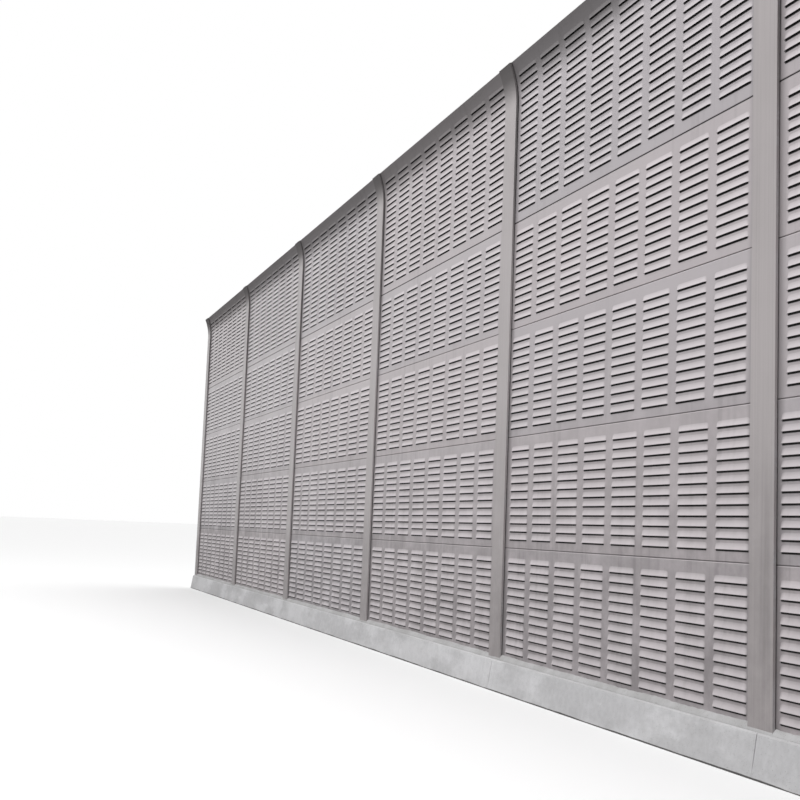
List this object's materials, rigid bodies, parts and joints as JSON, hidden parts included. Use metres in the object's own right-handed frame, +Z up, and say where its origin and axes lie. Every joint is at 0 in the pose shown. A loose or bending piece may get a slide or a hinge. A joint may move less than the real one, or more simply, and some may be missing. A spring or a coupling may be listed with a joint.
{
  "type": "roadside noise barrier section",
  "caption": "Louvred metal noise barrier: steel H-posts bent forward at the top, slotted absorber panels between them, on a low concrete plinth.",
  "frame": {"origin": "middle of the centre post's foot, level with the underside of the plinth", "axes": "+X along the wall, to the right as seen from the road; +Y away from the road, out of the plain rear; +Z up"},
  "size_m": [12.2, 0.1954, 2.9539],
  "materials": {
    "post_steel": "satin grey powder coat",
    "panel_sheet": "satin light grey powder coat",
    "seal_rubber": "matte black",
    "plinth_concrete": "fair-faced concrete"
  },
  "bodies": {
    "root": {"post_1": "post_steel", "post_2": "post_steel", "post_3": "post_steel", "post_4": "post_steel", "post_5": "post_steel", "post_6": "post_steel", "post_7": "post_steel", "bay_1_panel_1": "panel_sheet", "bay_1_panel_2": "panel_sheet", "bay_1_panel_3": "panel_sheet", "bay_1_panel_4": "panel_sheet", "bay_2_panel_1": "panel_sheet", "bay_2_panel_2": "panel_sheet", "bay_2_panel_3": "panel_sheet", "bay_2_panel_4": "panel_sheet", "bay_3_panel_1": "panel_sheet", "bay_3_panel_2": "panel_sheet", "bay_3_panel_3": "panel_sheet", "bay_3_panel_4": "panel_sheet", "bay_4_panel_1": "panel_sheet", "bay_4_panel_2": "panel_sheet", "bay_4_panel_3": "panel_sheet", "bay_4_panel_4": "panel_sheet", "bay_5_panel_1": "panel_sheet", "bay_5_panel_2": "panel_sheet", "bay_5_panel_3": "panel_sheet", "bay_5_panel_4": "panel_sheet", "bay_6_panel_1": "panel_sheet", "bay_6_panel_2": "panel_sheet", "bay_6_panel_3": "panel_sheet", "bay_6_panel_4": "panel_sheet", "bay_1_top_panel": "panel_sheet", "bay_2_top_panel": "panel_sheet", "bay_3_top_panel": "panel_sheet", "bay_4_top_panel": "panel_sheet", "bay_5_top_panel": "panel_sheet", "bay_6_top_panel": "panel_sheet", "front_seals": "seal_rubber", "rear_seals": "seal_rubber", "plinth_block_1": "plinth_concrete", "plinth_block_2": "plinth_concrete", "plinth_block_3": "plinth_concrete", "plinth_block_4": "plinth_concrete", "plinth_block_5": "plinth_concrete", "plinth_block_6": "plinth_concrete"}
  },
  "joints": []
}
